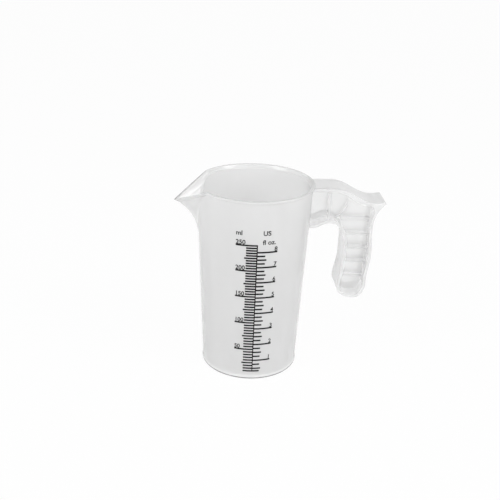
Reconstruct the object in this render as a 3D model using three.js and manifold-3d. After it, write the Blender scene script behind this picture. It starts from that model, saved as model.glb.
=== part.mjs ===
// A small measuring jug: a tapered translucent cup with a pouring spout, a pistol-grip handle and a printed scale.
// Millimetres, +Z up. The origin is the middle of the base, on the table.
// The handle points to +X, the spout to -X, and the printed scale faces -Y.
import * as THREE from "three";
import { mergeVertices } from "three/addons/utils/BufferGeometryUtils.js";
import Module from "manifold-3d";

const wasm = await Module();
wasm.setup();

// Cup
const CUP_HEIGHT = 118; // table to the top of the rim
const RIM_RADIUS = 34.5; // outside of the wall, carried up to the rim's top
const BASE_RADIUS = 29.6; // outside of the wall, carried down to the table
const WALL_THICKNESS = 1.7;
const FLOOR_THICKNESS = 2;
const HEEL_RADIUS = 1; // outside rounding between floor and wall
const CORNER_RADIUS = 2; // inside rounding between floor and wall
const BASE_HEIGHT = 6; // where the base ends and the wall begins
const RIM_HEIGHT = 2.4; // the flared lip at the top of the wall
const LIP_HEIGHT = 1.6; // outer edge of the lip
const LIP_PROUD = 0.8; // how far the lip stands out from the wall
const LIP_THICKNESS = 1.2; // at the top, where the inside is flared
const LIP_ROUNDING = 0.6;

// Spout
const SPOUT_SPREAD = THREE.MathUtils.degToRad(35); // half of the arc of rim that the spout takes
const SPOUT_REACH = 47.9; // cup axis to the tip
const SPOUT_TIP_DROP = 11.8; // rim to the tip
const SPOUT_DEPTH = 34; // rim to where the valley leaves the wall
const SPOUT_FOOT_HALF_WIDTH = 1.5; // half width of the valley there
const CREASE_POWER = 2; // how late the spout opens out from the valley to the rim

// Handle, an I-section: a plate in the middle plane with a band round its outline
const HANDLE_WIDTH = 18.5;
const BAND_THICKNESS = 1.8;
const WEB_THICKNESS = 1.8;
const RIB_THICKNESS = 1.5;
const ARM_DROP = 1; // rim to the top of the arm
const ARM_DEPTH = 21.4; // top of the arm to the top of the finger arch
const HANDLE_DROP = 70.6; // top of the arm to the bottom of the grip
const FINGER_ROOM = 19.5; // rim to the front of the grip
const GRIP_DEPTH = 17.5; // front to back of the grip at the palm
const NECK_TAPER = 0.9; // how far the neck stays in front of the palm
const HEEL_TAPER = 1.8; // how far the heel of the grip stays in front of the palm
const TOE_FORWARD = 2.2; // how far the toe of the grip reaches towards the cup
const ARCH_SAG = 3; // how far the arch drops towards the cup
const SADDLE_DIP = 8.6; // top of the arm to the thumb saddle
const TAIL_LENGTH = 5.8; // overhang of the thumb rest behind the palm
const TAIL_LIFT = 0.6; // how far the tail turns up
const TAIL_THICKNESS = 2;
const THUMB_REST_DEPTH = 4.5; // saddle to where the grip takes over
const RIB_PITCH = 9.3; // between the cross ribs of the grip
const GRIP_RIB_COUNT = 6;
const RIB_START = 3.6; // finger arch up to the highest cross rib

// Where the grip's outline turns, as shares of the way from its bottom to the finger arch
const STATION = { toe: 0.145, heel: 0.205, waist: 0.49, palm: 0.65, spring: 0.71, neck: 0.92 };

// Printed scale
const INK_THICKNESS = 0.2;
const INK_GAP = 0.15; // clearance of the ink over the facets of the wall
const SPINE_PROUD = 0.03; // the upright line is this much thicker each way, so that the ticks end inside it
const LINE_WIDTH = 0.65;
const SMALLEST_MILLILITRES = 10;
const LARGEST_MILLILITRES = 250;
const MILLILITRE_STEP = 5;
const NUMBERED_MILLILITRES = 50; // between the long ticks
const LARGEST_OUNCES = 8;
const OUNCE_STEP = 0.25;
const NUMBERED_OUNCES = 1;
const MILLILITRES_PER_OUNCE = 29.574;
const CUBIC_MM_PER_MILLILITRE = 1000;
const MILLILITRE_TICK = { fine: 6.4, medium: 7.6, long: 13 }; // lengths along the wall
const OUNCE_TICK = { fine: 4.8, medium: 5.6, long: 12 };

// Fits and smoothness
const PART_GAP = 0.3; // between neighbours that meet on a curved or slanted face
const MERGE_DISTANCE = 1e-4;
const TURN_SEGMENTS = 96;
const CURVE_SEGMENTS = 8; // facets of a long curve
const ROUNDING_SEGMENTS = 3; // facets of a small rounding
const INK_FACET = 4.5; // longest flat of the ink along the wall
const EASE = 0.39; // pull of a curve's handles, as a share of its span: a quarter turn comes out round

// Places worked out from the dimensions above
const WALL_SLOPE = (RIM_RADIUS - BASE_RADIUS) / CUP_HEIGHT;
const RIM_BOTTOM = CUP_HEIGHT - RIM_HEIGHT;
const LIP_BOTTOM = CUP_HEIGHT - LIP_HEIGHT;
const LIP_RADIUS = RIM_RADIUS + LIP_PROUD;
const TIP_HEIGHT = CUP_HEIGHT - SPOUT_TIP_DROP;
const SPOUT_FOOT = CUP_HEIGHT - SPOUT_DEPTH;
const ARM_TOP = CUP_HEIGHT - ARM_DROP;
const ARCH_TOP = ARM_TOP - ARM_DEPTH;
const SADDLE_HEIGHT = ARM_TOP - SADDLE_DIP;
const GRIP_BOTTOM = ARM_TOP - HANDLE_DROP;
const GRIP_LENGTH = ARCH_TOP - GRIP_BOTTOM;
const GRIP_FRONT = RIM_RADIUS + FINGER_ROOM;
const GRIP_BACK = GRIP_FRONT + GRIP_DEPTH;
const TAIL_TIP = GRIP_BACK + TAIL_LENGTH;
const CREST_X = GRIP_FRONT - GRIP_DEPTH / 3; // where the arm's top starts to fall to the saddle
const SOLE_X = (GRIP_FRONT + GRIP_BACK) / 2;
const ARCH_X = (RIM_RADIUS + GRIP_FRONT) / 2;
const ROOT_X = outside(ARCH_TOP) - WALL_THICKNESS; // the arm is drawn into the wall, then cut back
const ARM_END = (ARCH_X + GRIP_FRONT) / 2; // where the arm ends and the grip and thumb rest begin
const THUMB_REST_BOTTOM = SADDLE_HEIGHT - THUMB_REST_DEPTH;
const FAR_AWAY = 2 * CUP_HEIGHT; // a size beyond every piece, for blocks that cut

const RIGHT = new THREE.Vector2(1, 0);
const LEFT = new THREE.Vector2(-1, 0);
const UP = new THREE.Vector2(0, 1);
const DOWN = new THREE.Vector2(0, -1);

// Outside radius of the cup wall at a height.
function outside(z) {
  return BASE_RADIUS + WALL_SLOPE * z;
}

// Inside radius of the cup wall at a height.
function inside(z) {
  return outside(z) - WALL_THICKNESS;
}

// A closed geometry as a solid that can be joined and cut.
function solidFrom(geometry) {
  const bare = geometry.clone();
  bare.deleteAttribute("normal");
  bare.deleteAttribute("uv");
  const merged = mergeVertices(bare, MERGE_DISTANCE);
  const vertProperties = new Float32Array(merged.attributes.position.array);
  const triVerts = new Uint32Array(merged.index.array);
  return new wasm.Manifold(new wasm.Mesh({ numProp: 3, vertProperties, triVerts }));
}

// A joined or cut solid back as a geometry.
function geometryFrom(solid) {
  const { vertProperties, triVerts } = solid.getMesh();
  const geometry = new THREE.BufferGeometry();
  geometry.setAttribute("position", new THREE.BufferAttribute(vertProperties, 3));
  geometry.setIndex(new THREE.BufferAttribute(triVerts, 1));
  geometry.computeVertexNormals();
  return geometry;
}

// A profile of radius and height, turned about the cup axis.
function turned(profile) {
  const geometry = new THREE.LatheGeometry(profile.getPoints(ROUNDING_SEGMENTS), TURN_SEGMENTS);
  return solidFrom(geometry.rotateX(Math.PI / 2));
}

// An outline in the XZ plane, given thickness along Y.
function slab(outline, yLow, yHigh) {
  const settings = { depth: yHigh - yLow, bevelEnabled: false, curveSegments: CURVE_SEGMENTS };
  const geometry = new THREE.ExtrudeGeometry(outline, settings);
  return solidFrom(geometry.rotateX(Math.PI / 2).translate(0, yHigh, 0));
}

// A block across the whole width of the handle, between two corners of the XZ plane.
function block(xLow, zLow, xHigh, zHigh) {
  const geometry = new THREE.BoxGeometry(xHigh - xLow, FAR_AWAY, zHigh - zLow);
  return solidFrom(geometry.translate((xLow + xHigh) / 2, 0, (zLow + zHigh) / 2));
}

// A closed skin through rings that hold the same number of points, with a flat cap on each end.
function loft(rings) {
  const around = rings[0].length;
  const triangles = [];
  for (let row = 0; row + 1 < rings.length; row++) {
    for (let i = 0; i < around; i++) {
      const a = row * around + i;
      const b = row * around + ((i + 1) % around);
      triangles.push(a, b, b + around, a, b + around, a + around);
    }
  }
  const last = (rings.length - 1) * around;
  for (let i = 1; i + 1 < around; i++) {
    triangles.push(0, i + 1, i);
    triangles.push(last, last + i, last + i + 1);
  }
  const geometry = new THREE.BufferGeometry().setFromPoints(rings.flat());
  geometry.setIndex(triangles);
  return solidFrom(geometry);
}

// Cup base: the floor with a rounded heel and the first few millimetres of wall.
function cupBase() {
  const cornerTop = FLOOR_THICKNESS + CORNER_RADIUS;
  const cornerX = inside(FLOOR_THICKNESS);
  const profile = new THREE.Path();
  profile.moveTo(0, 0);
  profile.lineTo(outside(0) - HEEL_RADIUS, 0);
  profile.quadraticCurveTo(outside(0), 0, outside(HEEL_RADIUS), HEEL_RADIUS);
  profile.lineTo(outside(BASE_HEIGHT), BASE_HEIGHT);
  profile.lineTo(inside(BASE_HEIGHT), BASE_HEIGHT);
  profile.lineTo(inside(cornerTop), cornerTop);
  profile.quadraticCurveTo(cornerX, FLOOR_THICKNESS, cornerX - CORNER_RADIUS, FLOOR_THICKNESS);
  profile.lineTo(0, FLOOR_THICKNESS);
  return turned(profile);
}

// Half width of the spout where it meets the cup wall, at a height.
function creaseHalfWidth(z) {
  const rootHalfWidth = RIM_RADIUS * Math.sin(SPOUT_SPREAD);
  const openness = ((z - SPOUT_FOOT) / SPOUT_DEPTH) ** CREASE_POWER;
  return THREE.MathUtils.lerp(SPOUT_FOOT_HALF_WIDTH, rootHalfWidth, openness);
}

// Heights from one to another in even steps.
function evenHeights(from, to) {
  const heights = [];
  for (let i = 0; i <= CURVE_SEGMENTS; i++) {
    heights.push(THREE.MathUtils.lerp(from, to, i / CURVE_SEGMENTS));
  }
  return heights;
}

// The opening in the wall and the rim that the spout fills.
function spoutOpening() {
  const heights = evenHeights(SPOUT_FOOT, CUP_HEIGHT + RIM_HEIGHT);
  const side = heights.map((z) => at(creaseHalfWidth(z), z));
  const otherSide = side.map((p) => at(-p.x, p.y)).reverse();
  const outline = new THREE.Shape([...side, ...otherSide]);
  const geometry = new THREE.ExtrudeGeometry(outline, { depth: SPOUT_REACH, bevelEnabled: false });
  return solidFrom(geometry.rotateX(Math.PI / 2).rotateZ(Math.PI / 2).translate(-SPOUT_REACH, 0, 0));
}

// Cup wall: the tapered shell between the base and the rim.
function cupWall() {
  const profile = new THREE.Path();
  profile.moveTo(inside(BASE_HEIGHT), BASE_HEIGHT);
  profile.lineTo(outside(BASE_HEIGHT), BASE_HEIGHT);
  profile.lineTo(outside(RIM_BOTTOM), RIM_BOTTOM);
  profile.lineTo(inside(RIM_BOTTOM), RIM_BOTTOM);
  profile.closePath();
  return turned(profile).subtract(spoutOpening());
}

// Rim bead: the lip on the wall, proud outside, rounded over the top and flared inside.
function rimBead() {
  const profile = new THREE.Path();
  profile.moveTo(inside(RIM_BOTTOM), RIM_BOTTOM);
  profile.lineTo(outside(RIM_BOTTOM), RIM_BOTTOM);
  profile.lineTo(outside(LIP_BOTTOM), LIP_BOTTOM);
  profile.lineTo(LIP_RADIUS, LIP_BOTTOM + LIP_PROUD / 2);
  profile.lineTo(LIP_RADIUS, CUP_HEIGHT - LIP_ROUNDING);
  profile.quadraticCurveTo(LIP_RADIUS, CUP_HEIGHT, LIP_RADIUS - LIP_ROUNDING, CUP_HEIGHT);
  profile.lineTo(LIP_RADIUS - LIP_THICKNESS, CUP_HEIGHT);
  profile.closePath();
  return turned(profile).subtract(spoutOpening());
}

// Where the valley of the spout runs in the middle plane: an arc that leaves the wall at the foot.
function valley(z) {
  const rise = TIP_HEIGHT - SPOUT_FOOT;
  const reach = SPOUT_REACH - outside(TIP_HEIGHT);
  const arcRadius = (rise ** 2 + reach ** 2) / (2 * reach);
  return -outside(z) - arcRadius + Math.sqrt(arcRadius ** 2 - (z - SPOUT_FOOT) ** 2);
}

// A point at a half width from the middle plane on a circle about the cup axis, on the spout's side.
function onCircle(radius, halfWidth) {
  return new THREE.Vector2(-Math.sqrt(radius ** 2 - halfWidth ** 2), halfWidth);
}

// One level slice of a spout panel, from the crease at the wall to the valley or, above the tip, the mouth edge.
function spoutSlice(z, side) {
  const halfWidth = creaseHalfWidth(z) - PART_GAP;
  const creaseOut = onCircle(outside(z), halfWidth);
  const creaseIn = onCircle(inside(z), halfWidth);
  const edgeOut = new THREE.Vector2(valley(Math.min(z, TIP_HEIGHT)), 0);
  const edgeIn = edgeOut.clone();
  if (z <= TIP_HEIGHT) {
    const slant = (creaseOut.x - edgeOut.x) / halfWidth;
    edgeIn.x += WALL_THICKNESS * Math.hypot(1, slant);
  } else {
    const root = onCircle(LIP_RADIUS, creaseHalfWidth(CUP_HEIGHT) - PART_GAP);
    edgeOut.lerp(root, (z - TIP_HEIGHT) / SPOUT_TIP_DROP);
    edgeIn.copy(creaseIn).sub(creaseOut).setLength(WALL_THICKNESS).add(edgeOut);
  }
  const slice = [creaseOut, edgeOut, edgeIn, creaseIn].map((p) => new THREE.Vector3(p.x, side * p.y, z));
  return side > 0 ? slice : slice.reverse();
}

// Pouring spout: two panels that meet in the valley and part above the tip.
function pouringSpout() {
  const underTip = evenHeights(SPOUT_FOOT + PART_GAP, TIP_HEIGHT);
  const overTip = evenHeights(TIP_HEIGHT, CUP_HEIGHT).slice(1);
  const panel = (side) => loft([...underTip, ...overTip].map((z) => spoutSlice(z, side)));
  return panel(1).add(panel(-1));
}

// A point of an outline.
function at(x, z) {
  return new THREE.Vector2(x, z);
}

// Carries an outline to a point along a smooth curve that leaves and arrives in given directions.
function flowTo(outline, end, leave, arrive) {
  const start = outline.currentPoint.clone();
  const pull = EASE * start.distanceTo(end);
  const first = leave.clone().setLength(pull).add(start);
  const second = end.clone().sub(arrive.clone().setLength(pull));
  outline.bezierCurveTo(first.x, first.y, second.x, second.y, end.x, end.y);
}

// A height on the grip, as a share of the way from its bottom to the finger arch.
function gripHeight(share) {
  return GRIP_BOTTOM + share * GRIP_LENGTH;
}

// The stretch that the outline and its recess share: down the palm, round the sole and up to the finger arch.
function drawGrip(outline, inset) {
  const back = GRIP_BACK - inset;
  const front = GRIP_FRONT + inset;
  const arch = ARCH_TOP + inset;
  flowTo(outline, at(back, gripHeight(STATION.palm)), DOWN, DOWN);
  flowTo(outline, at(back - HEEL_TAPER, gripHeight(STATION.heel)), DOWN, DOWN);
  flowTo(outline, at(SOLE_X, GRIP_BOTTOM + inset), DOWN, LEFT);
  flowTo(outline, at(front - TOE_FORWARD, gripHeight(STATION.toe)), LEFT, UP);
  flowTo(outline, at(front, gripHeight(STATION.waist)), UP, UP);
  outline.lineTo(front, gripHeight(STATION.spring));
  flowTo(outline, at(ARCH_X, arch), UP, LEFT);
  flowTo(outline, at(RIM_RADIUS, arch - ARCH_SAG), LEFT, LEFT);
  outline.lineTo(ROOT_X, arch - ARCH_SAG);
  outline.closePath();
}

// The handle seen from the side, with the tail of the thumb rest.
function handleOutline() {
  const tailRise = new THREE.Vector2(TAIL_LENGTH, TAIL_LIFT);
  const tailFall = new THREE.Vector2(-TAIL_LENGTH, -TAIL_LENGTH);
  const tailEnd = TAIL_TIP - TAIL_THICKNESS / 2;
  const outline = new THREE.Shape();
  outline.moveTo(ROOT_X, ARM_TOP);
  outline.lineTo(CREST_X, ARM_TOP);
  flowTo(outline, at(GRIP_BACK, SADDLE_HEIGHT), RIGHT, RIGHT);
  flowTo(outline, at(tailEnd, SADDLE_HEIGHT + TAIL_LIFT), RIGHT, tailRise);
  flowTo(outline, at(TAIL_TIP, SADDLE_HEIGHT + TAIL_LIFT - TAIL_THICKNESS / 2), tailRise, DOWN);
  flowTo(outline, at(tailEnd, SADDLE_HEIGHT + TAIL_LIFT - TAIL_THICKNESS), DOWN, tailFall);
  flowTo(outline, at(GRIP_BACK - NECK_TAPER, gripHeight(STATION.neck)), tailFall, DOWN);
  drawGrip(outline, 0);
  return outline;
}

// The recess each side of the web, inside the band.
function recessOutline() {
  const inset = BAND_THICKNESS;
  const outline = new THREE.Shape();
  outline.moveTo(ROOT_X, ARM_TOP - inset);
  outline.lineTo(CREST_X, ARM_TOP - inset);
  flowTo(outline, at(GRIP_BACK - 2 * inset, SADDLE_HEIGHT - inset), RIGHT, RIGHT);
  flowTo(outline, at(GRIP_BACK - NECK_TAPER - inset, gripHeight(STATION.neck)), RIGHT, DOWN);
  drawGrip(outline, inset);
  return outline;
}

// The stiffening ribs: one upright in the arm, one from the finger arch to the saddle, and the cross ribs of the grip.
function handleRibs() {
  const half = RIB_THICKNESS / 2;
  const lean = GRIP_DEPTH / 3;
  const brace = new THREE.Shape([
    at(ARM_END - half, gripHeight(STATION.spring)),
    at(ARM_END + half + lean / 2, gripHeight(STATION.spring)),
    at(ARM_END + half + lean, ARM_TOP),
    at(ARM_END - half + lean, ARM_TOP),
  ]);
  const ribs = [slab(brace, -HANDLE_WIDTH, HANDLE_WIDTH), block(ARCH_X - half, ARCH_TOP, ARCH_X + half, ARM_TOP)];
  for (let i = 0; i < GRIP_RIB_COUNT; i++) {
    const z = ARCH_TOP + RIB_START - i * RIB_PITCH;
    ribs.push(block(GRIP_FRONT - TOE_FORWARD, z - half, TAIL_TIP, z + half));
  }
  return ribs.reduce((all, rib) => all.add(rib));
}

// The space that the cup takes, with the fitting gap round it.
function cupSpace() {
  const profile = new THREE.Path();
  profile.moveTo(0, 0);
  profile.lineTo(outside(0) + PART_GAP, 0);
  profile.lineTo(outside(LIP_BOTTOM) + PART_GAP, LIP_BOTTOM - PART_GAP);
  profile.lineTo(LIP_RADIUS + PART_GAP, LIP_BOTTOM - PART_GAP);
  profile.lineTo(LIP_RADIUS + PART_GAP, CUP_HEIGHT);
  profile.lineTo(0, CUP_HEIGHT);
  return turned(profile);
}

// The whole handle, fitted against the cup.
function wholeHandle() {
  const ribs = handleRibs();
  const half = HANDLE_WIDTH / 2;
  const nearRecess = slab(recessOutline(), -HANDLE_WIDTH, -WEB_THICKNESS / 2).subtract(ribs);
  const farRecess = slab(recessOutline(), WEB_THICKNESS / 2, HANDLE_WIDTH).subtract(ribs);
  return slab(handleOutline(), -half, half).subtract(nearRecess).subtract(farRecess).subtract(cupSpace());
}

// Height of the surface when the cup holds a volume in millilitres.
function fillHeight(millilitres) {
  const floorRadius = inside(FLOOR_THICKNESS);
  const volume = millilitres * CUBIC_MM_PER_MILLILITRE;
  const surfaceRadius = Math.cbrt(floorRadius ** 3 + (3 * WALL_SLOPE * volume) / Math.PI);
  return FLOOR_THICKNESS + (surfaceRadius - floorRadius) / WALL_SLOPE;
}

// A bar of ink on the front of the wall, between two points given as distance along the wall and height.
function inkBar(start, end, proud) {
  const across = end.clone().sub(start).setLength(LINE_WIDTH / 2).rotateAround(at(0, 0), Math.PI / 2);
  const onWall = (p, lift) => {
    const radius = outside(p.y) + lift;
    const angle = p.x / outside(p.y);
    return new THREE.Vector3(radius * Math.sin(angle), -radius * Math.cos(angle), p.y);
  };
  const inner = INK_GAP - proud;
  const outer = INK_GAP + INK_THICKNESS + proud;
  const steps = Math.ceil(Math.abs(end.x - start.x) / INK_FACET) || 1;
  const rings = [];
  for (let i = 0; i <= steps; i++) {
    const middle = start.clone().lerp(end, i / steps);
    const low = middle.clone().sub(across);
    const high = middle.clone().add(across);
    rings.push([onWall(low, inner), onWall(high, inner), onWall(high, outer), onWall(low, outer)]);
  }
  return loft(rings);
}

// Length of a tick, longest where the value is a whole number of numbered steps.
function tickLength(lengths, value, numbered) {
  if (value % numbered === 0) return lengths.long;
  return value % (numbered / 2) === 0 ? lengths.medium : lengths.fine;
}

// Printed scale: an upright line with millilitre ticks to its left and fluid ounce ticks to its right.
function printedScale() {
  const lowest = fillHeight(SMALLEST_MILLILITRES);
  const highest = fillHeight(LARGEST_MILLILITRES);
  const overrun = LINE_WIDTH / 2 + SPINE_PROUD;
  let scale = inkBar(at(0, lowest - overrun), at(0, highest + overrun), SPINE_PROUD);
  const addTick = (millilitres, length) => {
    const z = fillHeight(millilitres);
    scale = scale.add(inkBar(at(0, z), at(length, z), 0));
  };
  addTick(SMALLEST_MILLILITRES, OUNCE_TICK.fine);
  for (let value = SMALLEST_MILLILITRES; value <= LARGEST_MILLILITRES; value += MILLILITRE_STEP) {
    addTick(value, -tickLength(MILLILITRE_TICK, value, NUMBERED_MILLILITRES));
  }
  for (let value = 2 * OUNCE_STEP; value <= LARGEST_OUNCES; value += OUNCE_STEP) {
    addTick(value * MILLILITRES_PER_OUNCE, tickLength(OUNCE_TICK, value, NUMBERED_OUNCES));
  }
  return scale;
}

// The assembly
const POLYPROPYLENE = { color: 0xe9ebea, roughness: 0.38, metalness: 0 };
const BLACK_INK = { color: 0x121212, roughness: 0.6, metalness: 0 };
const group = new THREE.Group();

// Adds one named piece to the jug.
function addPiece(name, solid, finish) {
  const mesh = new THREE.Mesh(geometryFrom(solid), new THREE.MeshStandardMaterial(finish));
  mesh.name = name;
  group.add(mesh);
}

const handle = wholeHandle();
const armSide = block(-FAR_AWAY, 0, ARM_END, FAR_AWAY);
const thumbSide = block(ARM_END, THUMB_REST_BOTTOM, FAR_AWAY, FAR_AWAY);
const gripSide = block(ARM_END, 0, FAR_AWAY, THUMB_REST_BOTTOM);
addPiece("cup_base", cupBase(), POLYPROPYLENE);
addPiece("cup_wall", cupWall(), POLYPROPYLENE);
addPiece("rim_bead", rimBead(), POLYPROPYLENE);
addPiece("pouring_spout", pouringSpout(), POLYPROPYLENE);
addPiece("handle_arm", handle.intersect(armSide), POLYPROPYLENE);
addPiece("thumb_rest", handle.intersect(thumbSide), POLYPROPYLENE);
addPiece("handle_grip", handle.intersect(gripSide), POLYPROPYLENE);
addPiece("printed_scale", printedScale(), BLACK_INK);

export default group;
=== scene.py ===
"""Looks of a small translucent measuring jug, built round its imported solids."""
import logging
import math
from dataclasses import dataclass, field, replace
from enum import Enum

import bpy
from mathutils import Matrix, Vector


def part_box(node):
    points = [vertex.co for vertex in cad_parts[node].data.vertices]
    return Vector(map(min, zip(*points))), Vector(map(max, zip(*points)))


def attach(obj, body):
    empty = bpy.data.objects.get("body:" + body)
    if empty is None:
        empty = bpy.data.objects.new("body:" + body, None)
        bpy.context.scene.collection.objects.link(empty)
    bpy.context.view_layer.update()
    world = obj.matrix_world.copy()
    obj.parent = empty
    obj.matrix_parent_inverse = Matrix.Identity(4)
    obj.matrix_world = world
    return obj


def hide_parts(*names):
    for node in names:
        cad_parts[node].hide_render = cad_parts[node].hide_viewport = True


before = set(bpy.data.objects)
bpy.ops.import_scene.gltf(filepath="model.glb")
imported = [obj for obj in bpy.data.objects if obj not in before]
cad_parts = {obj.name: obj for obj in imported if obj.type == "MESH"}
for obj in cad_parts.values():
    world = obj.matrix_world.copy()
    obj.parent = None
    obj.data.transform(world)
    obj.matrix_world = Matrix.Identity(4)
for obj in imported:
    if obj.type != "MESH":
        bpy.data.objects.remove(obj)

MM = 0.001
MILLILITRE = (10 * MM) ** 3
WELD = 0.01 * MM
SMOOTH_ANGLE = math.radians(40)
PICTURE_SIDE = 500
SENSOR_WIDTH = 36.0
BODY = "root"
INK_SLOT = "black_ink"
# Mesh attributes that carry the painted highlight lines and the painted shade lines of the cup's colour.
PAINTED_HIGHLIGHT_LINE = "painted_highlight_line"
PAINTED_SHADE_LINE = "painted_shade_line"
WHITE = (1.0, 1.0, 1.0, 1.0)
RIGHT = Vector((1, 0))
LEFT = Vector((-1, 0))
UP = Vector((0, 1))
DOWN = Vector((0, -1))

log = logging.getLogger("measuring_jug")


class TickKind(Enum):
    """How far a tick of the printed scale reaches."""

    FINE = "fine"
    MEDIUM = "medium"
    LONG = "long"


class Side(Enum):
    """The half of the printed scale that a tick is on, by its direction along the wall."""

    MILLILITRES = -1
    OUNCES = 1


class Wire:
    """A number socket that Python's operators can work on, each adding a Math node."""

    def __init__(self, sheet: "NodeSheet", socket: bpy.types.NodeSocket) -> None:
        """Keep the socket and the sheet that holds it."""
        self.sheet = sheet
        self.socket = socket

    def _math(self, operation: str, first: "Wire | float", second: "Wire | float") -> "Wire":
        """Add a Math node.

        Args:
            operation: Name of the node's operation.
            first: Left value or wire.
            second: Right value or wire.

        Returns:
            The node's result.
        """
        node = self.sheet.node("ShaderNodeMath", {"operation": operation}, {0: first, 1: second})
        return Wire(self.sheet, node.outputs[0])

    def __add__(self, other: "Wire | float") -> "Wire":
        """Sum of the two."""
        return self._math("ADD", self, other)

    def __radd__(self, other: "Wire | float") -> "Wire":
        """Sum of the two, with the wire on the right."""
        return self._math("ADD", other, self)

    def __sub__(self, other: "Wire | float") -> "Wire":
        """Difference of the two."""
        return self._math("SUBTRACT", self, other)

    def __rsub__(self, other: "Wire | float") -> "Wire":
        """Difference of the two, with the wire on the right."""
        return self._math("SUBTRACT", other, self)

    def __mul__(self, other: "Wire | float") -> "Wire":
        """Product of the two."""
        return self._math("MULTIPLY", self, other)

    def __rmul__(self, other: "Wire | float") -> "Wire":
        """Product of the two, with the wire on the right."""
        return self._math("MULTIPLY", other, self)

    def at_least(self, other: "Wire | float") -> "Wire":
        """The larger of the two."""
        return self._math("MAXIMUM", self, other)


class NodeSheet:
    """The node tree of a material or world, filled node by node."""

    def __init__(self, tree: bpy.types.NodeTree) -> None:
        """Start from an empty tree."""
        tree.nodes.clear()
        self.tree = tree

    def node(self, kind: str, settings: dict | None = None, sockets: dict | None = None) -> bpy.types.Node:
        """Add a node.

        Args:
            kind: The node's type name.
            settings: The node's own properties, set before its sockets.
            sockets: Values, wires or output sockets for its inputs, by name or index.

        Returns:
            The new node.
        """
        made = self.tree.nodes.new(kind)
        for name, value in (settings or {}).items():
            setattr(made, name, value)
        for name, value in (sockets or {}).items():
            source = value.socket if isinstance(value, Wire) else value
            if isinstance(source, bpy.types.NodeSocket):
                self.tree.links.new(source, made.inputs[name])
            else:
                made.inputs[name].default_value = source
        return made

    def wire(self, kind: str, settings: dict | None, sockets: dict | None, output: str | int = 0) -> Wire:
        """Add a node and give one of its outputs as a wire.

        Args:
            kind: The node's type name.
            settings: The node's own properties.
            sockets: Values or links for its inputs.
            output: Name or index of the output.

        Returns:
            The output as a wire.
        """
        return Wire(self, self.node(kind, settings, sockets).outputs[output])

    def noise(self, size: float, detail: float, place: bpy.types.NodeSocket) -> Wire:
        """A soft random pattern from 0 to 1.

        Args:
            size: Size of its blotches, in metres.
            detail: How many finer layers it has.
            place: Coordinates that it is laid on.

        Returns:
            The pattern.
        """
        sockets = {"Vector": place, "Scale": 1 / size, "Detail": detail}
        return self.wire("ShaderNodeTexNoise", None, sockets, "Fac")

    def tint(self, share: Wire, first: object, second: object) -> bpy.types.NodeSocket:
        """A colour between two others.

        Args:
            share: How far it is from the first to the second one.
            first: The colour or colour socket at 0.
            second: The colour or colour socket at 1.

        Returns:
            The colour's socket.
        """
        settings = {"data_type": "RGBA"}
        sockets = {"Factor": share, "A": first, "B": second}
        return self.node("ShaderNodeMix", settings, sockets).outputs["Result"]


def blank_material(name: str) -> tuple[bpy.types.Material, NodeSheet]:
    """Make a material that has no nodes yet.

    Args:
        name: Its name.

    Returns:
        The material and its sheet of nodes.
    """
    made = bpy.data.materials.new(name)
    made.use_nodes = True
    return made, NodeSheet(made.node_tree)


@dataclass(frozen=True)
class NaturalPolypropylene:
    """Uncoloured polypropylene as it comes from the mould: milky, see-through and satin."""

    name: str
    milky: tuple = (0.865, 0.865, 0.865, 1.0)
    clear: tuple = (0.885, 0.885, 0.885, 1.0)
    cloud_size: float = 22 * MM
    cloud_detail: float = 3
    grain_size: float = 0.35 * MM
    grain_detail: float = 2
    gloss_patch_size: float = 6 * MM
    gloss_patch_detail: float = 4
    roughness: float = 0.45
    roughness_spread: float = 0.10
    opacity: float = 0.7
    see_through: float = 0.35
    refraction: float = 1.15
    gloss: float = 1.0
    gloss_roughness: float = 0.10
    gloss_index: float = 1.6
    grain_height: float = 0.012 * MM
    grain_strength: float = 0.25
    # Colours of the painted shade lines and the painted highlight lines along edges.
    edge_shade: tuple = (0.2, 0.2, 0.2, 1.0)
    edge_gleam: tuple = WHITE

    def colour(self, sheet: NodeSheet, place: bpy.types.NodeSocket) -> bpy.types.NodeSocket:
        """The plastic's colour: cloudy, with pale lines of painted highlight and dark lines of painted shade
        along some edges.

        Args:
            sheet: The material's nodes.
            place: Coordinates that it is laid on.

        Returns:
            The colour's socket.
        """
        cloud = sheet.noise(self.cloud_size, self.cloud_detail, place)
        # Shares of painted highlight and painted shade, from the cup's attributes.
        pale = sheet.wire("ShaderNodeAttribute", {"attribute_name": PAINTED_HIGHLIGHT_LINE}, None, "Fac")
        dark = sheet.wire("ShaderNodeAttribute", {"attribute_name": PAINTED_SHADE_LINE}, None, "Fac")
        body = sheet.tint(cloud, self.milky, self.clear)
        return sheet.tint(dark, sheet.tint(pale, body, self.edge_gleam), self.edge_shade)

    def material(self) -> bpy.types.Material:
        """Make the material.

        Returns:
            The new material.
        """
        made, sheet = blank_material(self.name)
        place = sheet.node("ShaderNodeTexCoord").outputs["Object"]
        patch = sheet.noise(self.gloss_patch_size, self.gloss_patch_detail, place)
        grain = sheet.noise(self.grain_size, self.grain_detail, place)
        bump = sheet.node(
            "ShaderNodeBump",
            None,
            {"Strength": self.grain_strength, "Distance": self.grain_height, "Height": grain},
        )
        plastic = sheet.node(
            "ShaderNodeBsdfPrincipled",
            None,
            {
                "Base Color": self.colour(sheet, place),
                "Roughness": patch * self.roughness_spread + self.roughness,
                "IOR": self.refraction,
                "Alpha": self.opacity,
                "Transmission Weight": self.see_through,
                "Coat Weight": self.gloss,
                "Coat Roughness": self.gloss_roughness,
                "Coat IOR": self.gloss_index,
                "Normal": bump.outputs["Normal"],
            },
        )
        sheet.node("ShaderNodeOutputMaterial", None, {"Surface": plastic.outputs["BSDF"]})
        return made


CUP_FINISH = NaturalPolypropylene("cup_polypropylene")
BAND_FINISH = NaturalPolypropylene("band_polypropylene", opacity=0.8)
WEB_FINISH = NaturalPolypropylene("web_polypropylene", opacity=0.39)


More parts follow.
